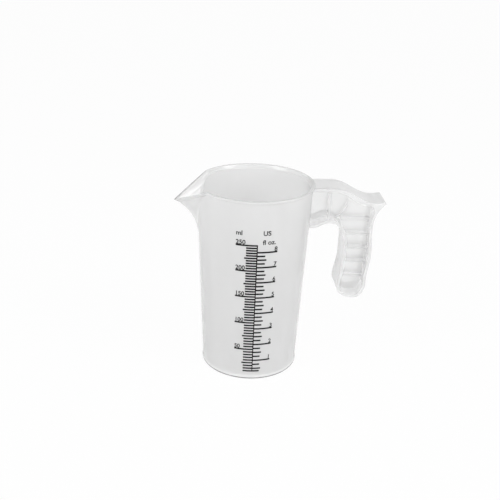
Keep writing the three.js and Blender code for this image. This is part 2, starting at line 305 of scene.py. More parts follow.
@dataclass(frozen=True)
class ScreenInk:
    """Matt black ink pushed through a screen, a little uneven in its cover."""

    thin: tuple = (0.015, 0.015, 0.015, 1.0)
    full: tuple = (0.004, 0.004, 0.004, 1.0)
    cover_size: float = 1.6 * MM
    cover_detail: float = 4
    mesh_size: float = 0.15 * MM
    mesh_detail: float = 1
    roughness: float = 0.6
    roughness_spread: float = 0.15
    shine: float = 0.2
    mesh_height: float = 0.01 * MM

    def material(self) -> bpy.types.Material:
        """Make the material.

        Returns:
            The new material.
        """
        made, sheet = blank_material(INK_SLOT)
        place = sheet.node("ShaderNodeTexCoord").outputs["Object"]
        cover = sheet.noise(self.cover_size, self.cover_detail, place)
        weave = sheet.noise(self.mesh_size, self.mesh_detail, place)
        bump = sheet.node("ShaderNodeBump", None, {"Distance": self.mesh_height, "Height": weave})
        ink = sheet.node(
            "ShaderNodeBsdfPrincipled",
            None,
            {
                "Base Color": sheet.tint(cover, self.thin, self.full),
                "Roughness": cover * self.roughness_spread + self.roughness,
                "Specular IOR Level": self.shine,
                "Normal": bump.outputs["Normal"],
            },
        )
        sheet.node("ShaderNodeOutputMaterial", None, {"Surface": ink.outputs["BSDF"]})
        return made


class Bench:
    """Blender's operators as a modeller uses them, each on a clean selection."""

    @staticmethod
    def clear_selection() -> None:
        """Leave edit mode and deselect everything."""
        if bpy.context.object and bpy.context.object.mode == "EDIT":
            bpy.ops.object.mode_set(mode="OBJECT")
        bpy.ops.object.select_all(action="DESELECT")

    @classmethod
    def pick(cls, *pieces: bpy.types.Object) -> None:
        """Select some pieces alone, with the first one active.

        Args:
            *pieces: The pieces.
        """
        cls.clear_selection()
        for piece in pieces:
            piece.select_set(True)
        bpy.context.view_layer.objects.active = pieces[0]

    @classmethod
    def finish_modifier(cls, piece: bpy.types.Object, kind: str, **settings: object) -> None:
        """Add a modifier and apply it.

        Args:
            piece: The piece that it works on.
            kind: The modifier's type.
            **settings: The modifier's properties.
        """
        cls.pick(piece)
        modifier = piece.modifiers.new(kind.lower(), kind)
        for name, value in settings.items():
            setattr(modifier, name, value)
        bpy.ops.object.modifier_apply(modifier=modifier.name)

    @classmethod
    def join(cls, pieces: list[bpy.types.Object]) -> bpy.types.Object:
        """Join pieces into the first one.

        Args:
            pieces: The pieces.

        Returns:
            The joined piece.
        """
        cls.pick(*pieces)
        bpy.ops.object.join()
        return pieces[0]

    @classmethod
    def settle(cls, piece: bpy.types.Object) -> None:
        """Put a piece's place, turn and scale into its mesh."""
        cls.pick(piece)
        bpy.ops.object.transform_apply(location=True, rotation=True, scale=True)

    @classmethod
    def close_seams(cls, piece: bpy.types.Object) -> None:
        """Merge a piece's doubled points and turn its faces outwards.

        Args:
            piece: The piece.
        """
        cls.pick(piece)
        bpy.ops.object.mode_set(mode="EDIT")
        bpy.ops.mesh.select_all(action="SELECT")
        bpy.ops.mesh.remove_doubles(threshold=WELD)
        bpy.ops.mesh.normals_make_consistent(inside=False)
        bpy.ops.object.mode_set(mode="OBJECT")

    @classmethod
    def combine(cls, piece: bpy.types.Object, tool: bpy.types.Object, operation: str) -> None:
        """Combine a piece with a tool that is used up.

        Args:
            piece: The piece.
            tool: The other piece.
            operation: UNION, INTERSECT or DIFFERENCE.
        """
        cls.finish_modifier(
            piece,
            "BOOLEAN",
            operation=operation,
            object=tool,
            solver="MANIFOLD",
            material_mode="TRANSFER",
        )
        bpy.data.objects.remove(tool)


def steps(start: float, end: float, count: int) -> list[float]:
    """Even steps after a start, up to an end.

    Args:
        start: Where they start, left out.
        end: Where they end, included.
        count: How many there are.

    Returns:
        The steps.
    """
    return [start + (end - start) * i / count for i in range(1, count + 1)]


def smooth_max(first: float, second: float, blend: float) -> float:
    """The larger of two values, with the corner between them rounded.

    Args:
        first: One value.
        second: The other value.
        blend: How close the two are where the rounding begins.

    Returns:
        The rounded maximum.
    """
    if blend <= 0:
        return max(first, second)
    closeness = max(blend - abs(first - second), 0) / blend
    return max(first, second) + closeness**2 * blend / 4


@dataclass
class CupMoulding:
    """The cup with its base, lip and pouring spout, one seamless shell."""

    base_top: Vector = field(default_factory=lambda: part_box("cup_base")[1])
    wall_top: Vector = field(default_factory=lambda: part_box("cup_wall")[1])
    rim_top: Vector = field(default_factory=lambda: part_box("rim_bead")[1])
    spout_low: Vector = field(default_factory=lambda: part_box("pouring_spout")[0])
    spout_high: Vector = field(default_factory=lambda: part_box("pouring_spout")[1])
    wall: float = 1.7 * MM
    floor: float = 2 * MM
    heel: float = 1.2 * MM
    foot_bead: float = 0.35 * MM
    foot_bead_top: float = 2.6 * MM
    line_blend: float = 0.2 * MM
    corner: float = 2 * MM
    foot_ring: float = 3 * MM
    foot_recess: float = 0.5 * MM
    lip_height: float = 1.6 * MM
    lip_thickness: float = 1.9 * MM
    lip_rounding: float = 0.5 * MM
    flare_height: float = 2.1 * MM
    groove_depth: float = 0.3 * MM
    groove_height: float = 0.5 * MM
    mouth_thickness: float = 1 * MM
    part_gap: float = 0.3 * MM  # the clearance by which the spout's box is smaller than the spout
    tip_drop: float = 11.8 * MM
    valley_half_width: float = 1.5 * MM
    crease_power: float = 2  # how late the spout opens out from the valley to the rim
    ridge_rounding: float = 0.35 * MM
    outer_crease_blend: float = 0.6 * MM
    inner_crease_blend: float = 0.3 * MM
    crease_room: float = 0.8  # share of the free panel that a crease's rounding may take
    crease_bead: float = 0.3 * MM
    crease_bead_span: float = 1.2 * MM
    # mouth_line and mouth_line_fade set the height of the painted shade line along the mouth's edge and how
    # fast it grows from the mouth's ends.
    mouth_line: float = 0.1 * MM
    mouth_line_fade: float = 6  # how fast the dark line grows from the mouth's ends
    spout_lead: float = 4 * MM  # how far under the spout's foot the rows of the wall start to shift
    spout_sector: float = math.radians(90)
    sector_margin: float = math.radians(20)
    spout_columns: int = 180
    other_columns: int = 180
    wall_rows: int = 70
    arc_rows: int = 4

    def __post_init__(self) -> None:
        """Work out the places that follow from the sizes."""
        self.height = self.rim_top.z
        self.rim_zone = self.rim_top.z - self.wall_top.z
        self.slope = (self.wall_top.y - self.base_top.y) / (self.wall_top.z - self.base_top.z)
        self.lip_radius = self.rim_top.y
        self.tip = self.height - self.tip_drop
        self.foot = self.spout_low.z - self.part_gap
        self.root_half_width = self.spout_high.y + self.part_gap
        self.root_angle = math.asin(self.root_half_width / self.outside(self.height))
        self.reach = -self.spout_low.x

    def outside(self, z: float) -> float:
        """Outside radius of the wall at a height."""
        return self.base_top.y + self.slope * (z - self.base_top.z)

    def inside(self, z: float) -> float:
        """Inside radius of the wall at a height."""
        return self.outside(z) - self.wall

    def arc(self, start: tuple, corner: tuple, end: tuple) -> list[tuple]:
        """A rounded corner of the profile.

        Args:
            start: Where the rounding starts, left out.
            corner: The sharp corner that it replaces.
            end: Where it ends, included.

        Returns:
            Points of radius and height.
        """
        points = []
        for t in steps(0, 1, self.arc_rows):
            near, middle, far = (1 - t) ** 2, 2 * t * (1 - t), t**2
            points.append(tuple(a * near + b * middle + c * far for a, b, c in zip(start, corner, end)))
        return points

    def foot_profile(self) -> list[tuple]:
        """The section of the underside and of the foot's edge, from the middle outwards.

        Returns:
            Points of radius and height.
        """
        ring_outer = self.outside(0) - self.heel
        ring_inner = ring_outer - self.foot_ring
        bead_radius = self.outside(self.heel) + self.foot_bead
        bead_top_radius = self.outside(self.foot_bead_top)
        blend_share = self.line_blend / (self.foot_bead_top - self.heel)
        blend_radius = bead_radius + (bead_top_radius - bead_radius) * blend_share
        points = [(r, self.foot_recess) for r in (0, ring_inner / 2, ring_inner - self.foot_recess)]
        points += [(ring_inner, 0), (ring_outer, 0)]
        points += self.arc((ring_outer, 0), (bead_radius, 0), (bead_radius, self.heel))
        points += [(blend_radius, self.heel + self.line_blend), (bead_top_radius, self.foot_bead_top)]
        return points

    def lip_profile(self) -> list[tuple]:
        """The section of the lip, from the outside over its top to the flare inside.

        Returns:
            Points of radius and height.
        """
        rounding = self.lip_rounding
        bottom = self.height - self.lip_height
        inner = self.lip_radius - self.lip_thickness
        start = (self.outside(bottom), bottom)
        shoulder = (self.lip_radius, bottom + rounding)
        brow = (self.lip_radius, self.height - rounding)
        crown = (self.lip_radius - rounding, self.height)
        flare_top = (inner - rounding / 2, self.height - rounding)
        points = [start]
        points += self.arc(start, (self.lip_radius, bottom), shoulder)
        points += [brow]
        points += self.arc(brow, (self.lip_radius, self.height), crown)
        points += self.arc(crown, (inner, self.height), flare_top)
        return points

    def profile(self) -> list[tuple]:
        """The shell's section, from the middle of the underside over the lip to the middle of the floor.

        Returns:
            Points of radius and height.
        """
        line_end = self.foot_bead_top + self.line_blend
        flare_bottom = self.height - self.flare_height
        groove_middle = flare_bottom - self.groove_height / 2
        groove_bottom = flare_bottom - self.groove_height
        corner_top = self.floor + self.corner
        corner_radius = self.inside(self.floor)
        floor_edge = (corner_radius - self.corner, self.floor)
        points = self.foot_profile()
        points += [(self.outside(line_end), line_end)]
        points += [(self.outside(z), z) for z in steps(line_end, self.wall_top.z, self.wall_rows)]
        points += self.lip_profile()
        points += [(self.inside(flare_bottom), flare_bottom)]
        points += [(self.inside(groove_middle) + self.groove_depth, groove_middle)]
        points += [(self.inside(groove_bottom), groove_bottom)]
        points += [(self.inside(z), z) for z in steps(groove_bottom, corner_top, self.wall_rows)]
        points += self.arc(points[-1], (corner_radius, self.floor), floor_edge)
        points += [(r, self.floor) for r in (corner_radius / 2, 0)]
        return points

    def crease_half_width(self, z: float) -> float:
        """Half width of the spout where it meets the wall, at a height."""
        openness = ((z - self.foot) / (self.height - self.foot)) ** self.crease_power
        return self.valley_half_width + (self.root_half_width - self.valley_half_width) * openness

    def mouth_edge(self, z: float) -> tuple[float, float]:
        """The spout's outer edge at a height: the ridge under the tip, the mouth's edge above it.

        Args:
            z: The height.

        Returns:
            How far it reaches from the cup's axis, and its half width.
        """
        if z <= self.tip:
            rise = self.tip - self.foot
            out = self.reach - self.outside(self.tip)
            bend = (rise**2 + out**2) / (2 * out)
            return self.outside(z) + bend - math.sqrt(bend**2 - (z - self.foot) ** 2), 0.0
        share = (z - self.tip) / self.tip_drop
        root_reach = math.sqrt(self.outside(self.height) ** 2 - self.root_half_width**2)
        return self.reach + (root_reach - self.reach) * share, self.root_half_width * share

    def reach_at(self, y: float, z: float, inset: float, blend: float) -> tuple[float, float]:
        """How far a wall surface reaches from the cup's axis on the spout's side.

        Args:
            y: Distance from the middle plane.
            z: Height.
            inset: Depth of the surface under the outside.
            blend: Rounding of the crease between the wall and the spout.

        Returns:
            The reach, and how near the point is to the crease, from 0 to 1 and less towards the foot.
        """
        radius = self.outside(z) - inset
        wall = math.sqrt(radius**2 - y**2)
        if z <= self.foot:
            return wall, 0.0
        level = min(z, self.height - self.part_gap)
        edge_reach, edge_half = self.mouth_edge(level)
        crease = self.crease_half_width(level)
        lean = (edge_reach - math.sqrt(self.outside(level) ** 2 - crease**2)) / (crease - edge_half)
        slant = math.hypot(1, lean)
        if abs(y) >= radius * lean / slant:
            return wall, 0.0
        rounded = abs(y)
        if rounded < self.ridge_rounding:
            rounded = (y**2 + self.ridge_rounding**2) / (2 * self.ridge_rounding)
        panel = edge_reach - lean * (rounded - edge_half) - inset * slant
        room = radius * slant - (edge_reach + lean * edge_half - inset * slant)
        nearness = max(1 - abs(wall - panel) / self.crease_bead_span, 0)
        openness = (level - self.foot) / (self.height - self.foot)
        return smooth_max(wall, panel, min(blend, self.crease_room * room)), openness * nearness**2

    def column_top(self, angle: float) -> float:
        """Height of the rim, or of the spout's mouth, at an angle from the spout's middle plane.

        Args:
            angle: The angle, in radians.

        Returns:
            The height.
        """
        if abs(angle) >= self.root_angle:
            return self.height
        climb = self.root_half_width / self.tip_drop
        turn = abs(math.sin(angle))
        start = self.outside(0) * turn + climb * self.tip
        return start / (climb - self.slope * turn)

    def mark_foot(self, shell: bpy.types.Object) -> None:
        """Paint a dark line of shade round the foot's edge and a pale line of highlight over it.

        Args:
            shell: The turned shell.
        """
        pale = shell.data.attributes.new(PAINTED_HIGHLIGHT_LINE, "FLOAT", "POINT").data
        dark = shell.data.attributes.new(PAINTED_SHADE_LINE, "FLOAT", "POINT").data
        edge_radius = self.outside(0) - self.heel / 2
        for vertex in shell.data.vertices:
            x, y, z = vertex.co
            height = z - self.line_blend / 2
            if math.hypot(x, y) > edge_radius and height < self.foot_bead_top:
                # Painted highlight over the foot's edge, and painted shade below the heel where the wall
                # turns under.
                pale[vertex.index].value = 1
                dark[vertex.index].value = height < self.heel

    def level_at(self, z: float, angle: float) -> float:
        """The height that a point of the turned shell shifts to, because the mouth is lower than the rim.

        Args:
            z: The point's height.
            angle: Its angle from the spout's middle plane.

        Returns:
            The new height.
        """
        top = self.column_top(angle)
        rim_bottom = self.wall_top.z
        if z >= rim_bottom:
            return top - (self.height - z)
        lead = self.foot - self.spout_lead
        return lead + (z - lead) * (top - self.rim_zone - lead) / (rim_bottom - lead)

    def pull_spout(self, shell: bpy.types.Object) -> None:
        """Pull the spout out of the turned shell, and paint a highlight along its inner creases and a shade
        along its mouth's edge.

        Args:
            shell: The shell.
        """
        pale = shell.data.attributes[PAINTED_HIGHLIGHT_LINE].data
        dark = shell.data.attributes[PAINTED_SHADE_LINE].data
        reach_of_sector = self.spout_sector / 2 + self.sector_margin
        for vertex in shell.data.vertices:
            x, y, z = vertex.co
            angle = math.atan2(y, -x)
            if z <= self.foot - self.spout_lead or abs(angle) > reach_of_sector:
                continue
            level = self.level_at(z, angle)
            inset = self.outside(z) - math.hypot(x, y)
            spread = min(abs(math.sin(angle)) / math.sin(self.root_angle), 1)
            # Painted shade along the top of the mouth's outer edge.
            if inset < 0 and z > self.height - self.mouth_line:
                dark[vertex.index].value = min((1 - spread) * self.mouth_line_fade, 1)
            if inset < 0:
                inset *= spread
            elif z > self.wall_top.z:
                rim_share = 1 - (self.height - z) / self.rim_zone
                inset += (1 - spread) * rim_share * (self.mouth_thickness - inset)
            share = inset / self.wall
            outer_y = self.outside(level) * math.sin(angle)
            inner_y = self.inside(level) * math.sin(angle)
            outer, _ = self.reach_at(outer_y, level, 0, self.outer_crease_blend)
            inner, nearness = self.reach_at(inner_y, level, self.wall, self.inner_crease_blend)
            inner -= self.crease_bead * nearness
            # Painted highlight along the inner creases between the wall and the spout.
            pale[vertex.index].value = nearness * share
            vertex.co.x = -(outer + (inner - outer) * share)
            vertex.co.y = outer_y + (inner_y - outer_y) * share
            vertex.co.z = level

    def build(self) -> bpy.types.Object:
        """Turn the profile round the cup's axis and pull the spout out of it.

        Returns:
            The finished cup.
        """
        Bench.clear_selection()
        bpy.ops.mesh.primitive_plane_add(size=MM)
        cup = bpy.context.object
        cup.name = "cup_moulding"
        bpy.ops.object.mode_set(mode="EDIT")
        bpy.ops.mesh.merge(type="CENTER")
        points = self.profile()
        start_angle = math.pi - self.spout_sector / 2
        across = Vector((math.cos(start_angle), math.sin(start_angle), 0))
        places = [across * r + Vector((0, 0, z)) for r, z in points]
        bpy.ops.transform.translate(value=places[0])
        for before, after in zip(places, places[1:]):
            bpy.ops.mesh.extrude_vertices_move(TRANSFORM_OT_translate={"value": after - before})
        bpy.ops.mesh.select_all(action="SELECT")
        spin = {"center": (0, 0, 0), "axis": (0, 0, 1)}
        bpy.ops.mesh.spin(steps=self.spout_columns, angle=self.spout_sector, **spin)
        bpy.ops.mesh.spin(steps=self.other_columns, angle=2 * math.pi - self.spout_sector, **spin)
        Bench.close_seams(cup)
        self.mark_foot(cup)
        self.pull_spout(cup)
        bpy.ops.object.shade_smooth_by_angle(angle=SMOOTH_ANGLE)
        return cup

    def dress(self, cup: bpy.types.Object, plastic: bpy.types.Material) -> None:
        """Give the cup its plastic and its place in the frame.

        Args:
            cup: The cup.
            plastic: Its material.
        """
        cup.data.materials.append(plastic)
        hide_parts("cup_base", "cup_wall", "rim_bead", "pouring_spout")
        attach(cup, BODY)


class Outline:
    """A closed outline in the handle's middle plane, carried on from point to point."""

    def __init__(self, start: Vector, ease: float) -> None:
        """Start at a point.

        Args:
            start: The point.
            ease: Pull of a curve's handles, as a share of its span.
        """
        self.ease = ease
        self.places = [start]
        self.leaving = []
        self.arriving = []

    def flow(self, end: Vector, leave: Vector, arrive: Vector) -> None:
        """Carry the outline to a point along a smooth curve.

        Args:
            end: The point.
            leave: The direction that the curve starts in.
            arrive: The direction that it ends in.
        """
        start = self.places[-1]
        pull = self.ease * (end - start).length
        self.leaving.append(start + leave.normalized() * pull)
        self.arriving.append(end - arrive.normalized() * pull)
        self.places.append(end)

    def line(self, end: Vector) -> None:
        """Carry the outline straight to a point."""
        along = end - self.places[-1]
        self.flow(end, along, along)

    def trace(self, curve: bpy.types.Curve) -> None:
        """Close the outline and add it to a flat curve.

        Args:
            curve: The curve.
        """
        self.line(self.places[0])
        spline = curve.splines.new("BEZIER")
        spline.use_cyclic_u = True
        spline.bezier_points.add(len(self.leaving) - 1)
        for i, point in enumerate(spline.bezier_points):
            point.co = self.places[i].to_3d()
            point.handle_right = self.leaving[i].to_3d()
            point.handle_left = self.arriving[i - 1].to_3d()


@dataclass
class HandleMoulding:
    """The pistol-grip handle: a web in the middle plane, a band round it and stiffening ribs."""

    cup: CupMoulding
    band_plastic: bpy.types.Material
    web_plastic: bpy.types.Material
    arm_high: Vector = field(default_factory=lambda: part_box("handle_arm")[1])
    rest_high: Vector = field(default_factory=lambda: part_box("thumb_rest")[1])
    grip_low: Vector = field(default_factory=lambda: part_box("handle_grip")[0])
    band: float = 1.8 * MM
    web: float = 1.8 * MM
    rib: float = 1.4 * MM
    rib_rounding: float = 0.5 * MM
    upright_inset: float = 2 * MM
    brace_inset: float = 5.5 * MM
    cross_rib_inset: float = 4.5 * MM
    brace_bulge: float = 2 * MM
    brace_lean: float = 3 * MM
    brace_drop: float = 2.5 * MM
    brace_run: float = 2  # run of the brace's foot for each unit of its rise
    brace_station: float = 0.58  # height of its bulge, as a share of the arm's depth
    arm_depth: float = 21.4 * MM
    finger_room: float = 19.5 * MM
    neck_taper: float = 0.9 * MM
    heel_taper: float = 1.8 * MM
    toe_forward: float = 2.2 * MM
    arch_sag: float = 3 * MM
    saddle_dip: float = 8.6 * MM
    crest_share: float = 0.45  # where the arm's top starts to fall, in grip depths before the grip
    tail_length: float = 5.8 * MM
    tail_lift: float = 0.6 * MM
    tail_thickness: float = 2 * MM
    rib_pitch: float = 9.3 * MM
    rib_start: float = 0.85 * MM
    rib_count: int = 5
    # Heights on the grip, as shares of the way from its bottom to the finger arch.
    toe_station: float = 0.145
    heel_station: float = 0.205
    waist_station: float = 0.49
    palm_station: float = 0.65
    spring_station: float = 0.71
    neck_station: float = 0.92
    # Pull of a curve's handles, as a share of its span: a quarter turn comes out round.
    ease: float = 0.39
    curve_steps: int = 24
    rounding_steps: int = 3
    seat: float = 0.1 * MM  # how deep the handle is let into the cup's wall
    overhang: float = 0.25  # how far a face has to look down to let the floor's light through

    def __post_init__(self) -> None:
        """Work out the places that follow from the sizes."""
        self.half_width = self.arm_high.y
        self.arm_top = self.arm_high.z
        self.arch_top = self.arm_top - self.arm_depth
        self.saddle = self.arm_top - self.saddle_dip
        self.grip_bottom = self.grip_low.z
        self.rim_radius = self.cup.outside(self.cup.height)
        self.grip_front = self.rim_radius + self.finger_room
        self.tail_tip = self.rest_high.x
        self.grip_back = self.tail_tip - self.tail_length
        self.grip_depth = self.grip_back - self.grip_front
        self.crest_x = self.grip_front - self.grip_depth * self.crest_share
        self.sole_x = (self.grip_front + self.grip_back) / 2
        self.arch_x = (self.rim_radius + self.grip_front) / 2
        self.arm_end = (self.arch_x + self.grip_front) / 2
        self.root_x = self.cup.inside(self.arch_top)

    def grip_height(self, share: float) -> float:
        """A height on the grip, as a share of the way from its bottom to the finger arch."""
        return self.grip_bottom + share * (self.arch_top - self.grip_bottom)

    def draw_grip(self, outline: Outline, inset: float) -> None:
        """Draw down the palm, round the sole and up to the finger arch.

        Args:
            outline: The outline, which has come down to the neck.
            inset: How far inside the handle's outside it runs.
        """
        back = self.grip_back - inset
        front = self.grip_front + inset
        arch = self.arch_top + inset
        outline.flow(Vector((back, self.grip_height(self.palm_station))), DOWN, DOWN)
        outline.flow(Vector((back - self.heel_taper, self.grip_height(self.heel_station))), DOWN, DOWN)
        outline.flow(Vector((self.sole_x, self.grip_bottom + inset)), DOWN, LEFT)
        outline.flow(Vector((front - self.toe_forward, self.grip_height(self.toe_station))), LEFT, UP)
        outline.flow(Vector((front, self.grip_height(self.waist_station))), UP, UP)
        outline.line(Vector((front, self.grip_height(self.spring_station))))
        outline.flow(Vector((self.arch_x, arch)), UP, LEFT)
        outline.flow(Vector((self.rim_radius, arch - self.arch_sag)), LEFT, LEFT)
        outline.line(outline.places[0] + Vector((0, arch - self.arch_sag - outline.places[0].y)))

    def outside_outline(self) -> Outline:
        """The handle seen from the side, with the tail of the thumb rest.

        Returns:
            The outline.
        """
        tail_rise = Vector((self.tail_length, self.tail_lift))
        tail_fall = Vector((-1, -1))
        tail_end = self.tail_tip - self.tail_thickness / 2
        tail_top = self.saddle + self.tail_lift
        outline = Outline(Vector((self.root_x - self.band, self.arm_top)), self.ease)
        outline.line(Vector((self.crest_x, self.arm_top)))
        outline.flow(Vector((self.grip_back, self.saddle)), RIGHT, RIGHT)
        outline.flow(Vector((tail_end, tail_top)), RIGHT, tail_rise)
        outline.flow(Vector((self.tail_tip, tail_top - self.tail_thickness / 2)), tail_rise, DOWN)
        outline.flow(Vector((tail_end, tail_top - self.tail_thickness)), DOWN, tail_fall)
        neck = Vector((self.grip_back - self.neck_taper, self.grip_height(self.neck_station)))
        outline.flow(neck, tail_fall, DOWN)
        self.draw_grip(outline, 0)
        return outline

    def inner_outline(self, inset: float) -> Outline:
        """An outline inside the band, without the tail.

        Args:
            inset: How far inside the handle's outside it runs.

        Returns:
            The outline.
        """
        outline = Outline(Vector((self.root_x - self.band + inset, self.arm_top - inset)), self.ease)
        outline.line(Vector((self.crest_x, self.arm_top - inset)))
        outline.flow(Vector((self.grip_back - 2 * inset, self.saddle - inset)), RIGHT, RIGHT)
        neck = Vector((self.grip_back - self.neck_taper - inset, self.grip_height(self.neck_station)))
        outline.flow(neck, RIGHT, DOWN)
        self.draw_grip(outline, inset)
        return outline

    def brace_outline(self) -> Outline:
        """The curved rib that closes the arm's second pocket.

        Returns:
            The outline.
        """
        out = Vector((self.brace_run, 1))
        half = Vector((self.rib / 2, 0))
        bulge_x = self.grip_front + self.brace_bulge
        bottom = Vector((self.arm_end - self.rib, self.arch_top + self.band / 2))
        bulge = Vector((bulge_x, self.arch_top + self.brace_station * self.arm_depth))
        top = Vector((bulge_x - self.brace_lean, self.arm_top - self.brace_drop))
        outline = Outline(bottom - half, self.ease)
        outline.flow(bulge - half, out, UP)
        outline.flow(top - half, UP, top - bulge)
        outline.line(top + half)
        outline.flow(bulge + half, bulge - top, DOWN)
        outline.flow(bottom + half, DOWN, -out)
        return outline

    def slab(self, name: str, outlines: list[Outline], half_width: float) -> bpy.types.Object:
        """Give thickness to the area inside an outline.

        Args:
            name: Name of the piece.
            outlines: The outline, and the holes in it.
            half_width: Half of the thickness, on each side of the middle plane.

        Returns:
            The piece.
        """
        curve = bpy.data.curves.new(name, "CURVE")
        curve.dimensions = "2D"
        curve.fill_mode = "BOTH"
        curve.resolution_u = self.curve_steps
        curve.extrude = half_width
        for outline in outlines:
            outline.trace(curve)
        piece = bpy.data.objects.new(name, curve)
        bpy.context.scene.collection.objects.link(piece)
        Bench.pick(piece)
        bpy.ops.object.convert(target="MESH")
        piece.rotation_euler.x = math.pi / 2
        Bench.settle(piece)
        Bench.close_seams(piece)
        return piece

    def bar(self, low: Vector, high: Vector, inset: float) -> bpy.types.Object:
        """A straight rib across the handle's width, between two corners in the middle plane.

        Args:
            low: The corner nearest the cup and the table.
            high: The opposite corner.
            inset: How far it stays inside the band's edges.

        Returns:
            The rib.
        """
        Bench.clear_selection()
        middle = (low + high) / 2
        size = high - low
        bpy.ops.mesh.primitive_cube_add(size=1, location=(middle.x, 0, middle.y))
        rib = bpy.context.object
        rib.scale = (size.x, 2 * (self.half_width - inset), size.y)
        Bench.settle(rib)
        Bench.finish_modifier(rib, "BEVEL", width=self.rib_rounding, segments=self.rounding_steps)
        return rib

    def ribs(self) -> list[bpy.types.Object]:
        """The upright in the arm, the brace and the cross ribs of the grip, each ending in the band.

        Returns:
            The ribs.
        """
        half = self.rib / 2
        half_band = self.band / 2
        brace_width = self.half_width - self.brace_inset
        upright_low = Vector((self.arch_x - half, self.arch_top + half_band))
        upright_high = Vector((self.arch_x + half, self.arm_top - half_band))
        made = [self.bar(upright_low, upright_high, self.upright_inset)]
        made.append(self.slab("brace", [self.brace_outline()], brace_width))
        for i in range(self.rib_count):
            z = self.arch_top + self.rib_start - i * self.rib_pitch
            low = Vector((self.grip_front - self.toe_forward, z - half))
            high = Vector((self.tail_tip, z + half))
            rib = self.bar(low, high, self.cross_rib_inset)
            trim = self.slab("trim", [self.inner_outline(half_band)], self.half_width)
            Bench.combine(rib, trim, "INTERSECT")
            made.append(rib)
        return made

    def cup_space(self) -> bpy.types.Object:
        """The room that the cup takes, a little less than its outside, so that the handle grows out of it.

        Returns:
            The room as a solid.
        """
        Bench.clear_selection()
        seat = self.seat
        bpy.ops.mesh.primitive_cone_add(
            vertices=self.cup.other_columns,
            radius1=self.cup.outside(0) - seat,
            radius2=self.cup.outside(self.cup.height) - seat,
            depth=self.cup.height,
            location=(0, 0, self.cup.height / 2),
        )
        return bpy.context.object

    def clear_overhangs(self, handle: bpy.types.Object) -> None:
        """Make the faces that look down as clear as the web, because they let the floor's light through.

        Args:
            handle: The handle.
        """
        clear_slot = handle.data.materials.find(self.web_plastic.name)
        for face in handle.data.polygons:
            if face.normal.z < -self.overhang:
                face.material_index = clear_slot

    def build(self) -> bpy.types.Object:
        """Fuse the band, the web and the ribs into one moulding and seat it in the cup's wall.

        Returns:
            The finished handle.
        """
        handle = self.slab("handle_moulding", [self.outside_outline()], self.half_width)
        handle.data.materials.append(self.band_plastic)
        pocket = self.slab("pocket", [self.inner_outline(self.band)], self.half_width + self.band)
        pocket.data.materials.append(self.web_plastic)
        Bench.combine(handle, pocket, "DIFFERENCE")
        web = self.slab("web", [self.inner_outline(self.band / 2)], self.web / 2)
        for piece in [web, *self.ribs()]:
            piece.data.materials.clear()
            piece.data.materials.append(self.web_plastic)
            Bench.combine(handle, piece, "UNION")
        Bench.combine(handle, self.cup_space(), "DIFFERENCE")
        Bench.close_seams(handle)
        self.clear_overhangs(handle)
        bpy.ops.object.shade_smooth_by_angle(angle=SMOOTH_ANGLE)
        return handle

    def dress(self, handle: bpy.types.Object) -> None:
        """Give the handle its place in the frame.

        Args:
            handle: The handle.
        """
        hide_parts("handle_arm", "thumb_rest", "handle_grip")
        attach(handle, BODY)


